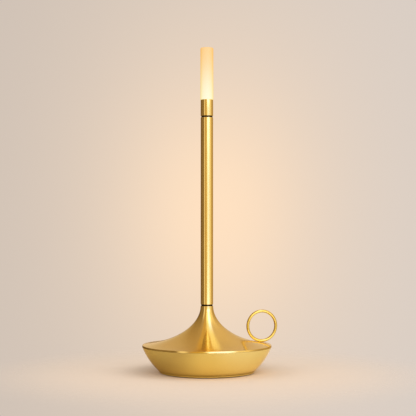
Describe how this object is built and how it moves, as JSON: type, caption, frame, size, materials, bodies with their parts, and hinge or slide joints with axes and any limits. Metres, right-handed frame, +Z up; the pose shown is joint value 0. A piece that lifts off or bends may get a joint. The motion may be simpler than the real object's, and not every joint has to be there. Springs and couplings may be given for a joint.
{
  "type": "cordless table lamp",
  "caption": "Cordless candlestick table lamp: shallow bowl base with a flared cover and ring handle, slim plug-in stem, twist collar dimmer and frosted tube light.",
  "frame": {"origin": "centre of the underside of the foot pad, on the lamp's axis", "axes": "+Z up the stem, +X towards the ring handle, +Y towards the charging port"},
  "size_m": [0.1207, 0.112, 0.2822],
  "materials": {
    "satin_brass": "fine satin, brushed round the stem and turned on the base",
    "polished_brass": "polished",
    "plain_brass": "as turned",
    "ballast_steel": "zinc plated",
    "screw_steel": "zinc plated",
    "port_steel": "stamped, satin",
    "nickel_plate": "nickel plated",
    "sink_aluminium": "as machined",
    "foot_rubber": "matt, soft",
    "gasket_rubber": "matt, soft",
    "black_plastic": "moulded, fine texture",
    "carrier_plastic": "moulded, matt",
    "circuit_board": "solder mask",
    "chip_black": "moulded",
    "cell_wrap": "blue shrink film over the can",
    "red_insulation": "extruded",
    "black_insulation": "extruded",
    "flex_amber": "film",
    "led_phosphor": "silicone over phosphor",
    "frosted_diffuser": "frosted, lit from inside with warm white light"
  },
  "bodies": {
    "base": {"base_bowl": "satin_brass", "base_cover": "satin_brass", "foot_pad": "foot_rubber", "handle_ring": "polished_brass", "handle_nut": "plain_brass", "ballast_plate": "ballast_steel", "cover_pillar_1": "plain_brass", "cover_pillar_2": "plain_brass", "cover_pillar_3": "plain_brass", "base_screw_1": "screw_steel", "base_screw_2": "screw_steel", "base_screw_3": "screw_steel", "battery_carrier": "carrier_plastic", "carrier_screw_1": "screw_steel", "carrier_screw_2": "screw_steel", "battery_cell": "cell_wrap", "contact_plus": "nickel_plate", "contact_minus": "nickel_plate", "charge_board": "circuit_board", "charge_chip": "chip_black", "usb_shell": "port_steel", "usb_tongue": "black_plastic", "socket_sleeve": "plain_brass", "socket_insulator": "black_plastic", "socket_pin": "plain_brass", "cell_wire_plus": "red_insulation", "cell_wire_minus": "black_insulation", "socket_wire_plus": "red_insulation", "socket_wire_minus": "black_insulation"},
    "stem": {"stem_tube": "satin_brass", "stem_spigot": "plain_brass", "neck_gasket": "gasket_rubber", "spigot_insulator": "black_plastic", "spigot_contact": "plain_brass", "stem_wire_plus": "red_insulation", "stem_wire_minus": "black_insulation", "driver_board": "circuit_board", "driver_chip": "chip_black", "driver_inductor": "chip_black", "head_post": "plain_brass", "collar_washer": "black_plastic", "friction_ring": "gasket_rubber", "retaining_clip": "screw_steel", "led_heatsink": "sink_aluminium", "led_board": "sink_aluminium", "led_emitter": "led_phosphor", "led_flex": "flex_amber", "twist_sensor": "chip_black"},
    "head": {"collar": "satin_brass", "twist_magnet": "nickel_plate", "diffuser": "frosted_diffuser"}
  },
  "joints": [
    {"name": "stem_lift", "type": "slide", "parent": "base", "child": "stem", "axis": [0, 0, 1], "range_m": [0, 0.016]},
    {"name": "head_twist", "type": "hinge", "parent": "stem", "child": "head", "pos_m": [0, 0, 0.2296], "axis": [0, 0, 1], "range_deg": [0, 270]}
  ]
}
